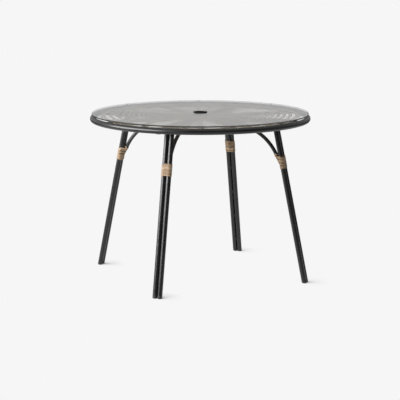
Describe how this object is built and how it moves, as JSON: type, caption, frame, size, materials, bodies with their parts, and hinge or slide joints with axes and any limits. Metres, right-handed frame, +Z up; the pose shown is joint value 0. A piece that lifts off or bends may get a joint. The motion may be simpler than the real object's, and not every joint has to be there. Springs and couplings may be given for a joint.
{
  "type": "round garden table",
  "caption": "Round garden table: loose glass top on a woven rim frame with a central parasol collar, on splayed legs of paired tubes with curved braces bound on by wound strand.",
  "frame": {"origin": "on the floor, under the middle of the parasol hole", "axes": "+Z up along the parasol hole; X and Y along the round spokes, the legs on the diagonals"},
  "size_m": [0.9999, 0.9999, 0.753],
  "materials": {
    "frame": "satin black powder coat",
    "glass": "clear, polished edge",
    "black_plastic": "fine matte",
    "pad": "soft, clear",
    "weave": "woven strand, satin",
    "binding": "flat wound strand, satin",
    "fastener": "zinc plated"
  },
  "bodies": {
    "frame": {"back_left_binding": "binding", "back_left_brace": "frame", "back_left_foot_plugs": "black_plastic", "back_left_leg_plate": "frame", "back_left_leg_ties": "frame", "back_left_leg_tube_1": "frame", "back_left_leg_tube_2": "frame", "back_left_spoke": "frame", "back_right_binding": "binding", "back_right_brace": "frame", "back_right_foot_plugs": "black_plastic", "back_right_leg_plate": "frame", "back_right_leg_ties": "frame", "back_right_leg_tube_1": "frame", "back_right_leg_tube_2": "frame", "back_right_spoke": "frame", "back_spoke": "frame", "bolts": "fastener", "front_left_binding": "binding", "front_left_brace": "frame", "front_left_foot_plugs": "black_plastic", "front_left_leg_plate": "frame", "front_left_leg_ties": "frame", "front_left_leg_tube_1": "frame", "front_left_leg_tube_2": "frame", "front_left_spoke": "frame", "front_right_binding": "binding", "front_right_brace": "frame", "front_right_foot_plugs": "black_plastic", "front_right_leg_plate": "frame", "front_right_leg_ties": "frame", "front_right_leg_tube_1": "frame", "front_right_leg_tube_2": "frame", "front_right_spoke": "frame", "front_spoke": "frame", "glass_pads": "pad", "hub_ring": "frame", "left_spoke": "frame", "right_spoke": "frame", "rivet_nuts": "fastener", "top_ring": "frame", "washers": "fastener", "woven_panel": "weave"},
    "glass": {"glass_top": "glass"},
    "collar": {"parasol_collar": "black_plastic"}
  },
  "joints": [
    {"name": "glass_lift", "type": "slide", "parent": "frame", "child": "glass", "axis": [0, 0, 1], "range_m": [0, 0.15]},
    {"name": "collar_lift", "type": "slide", "parent": "glass", "child": "collar", "axis": [0, 0, 1], "range_m": [0, 0.08]}
  ]
}
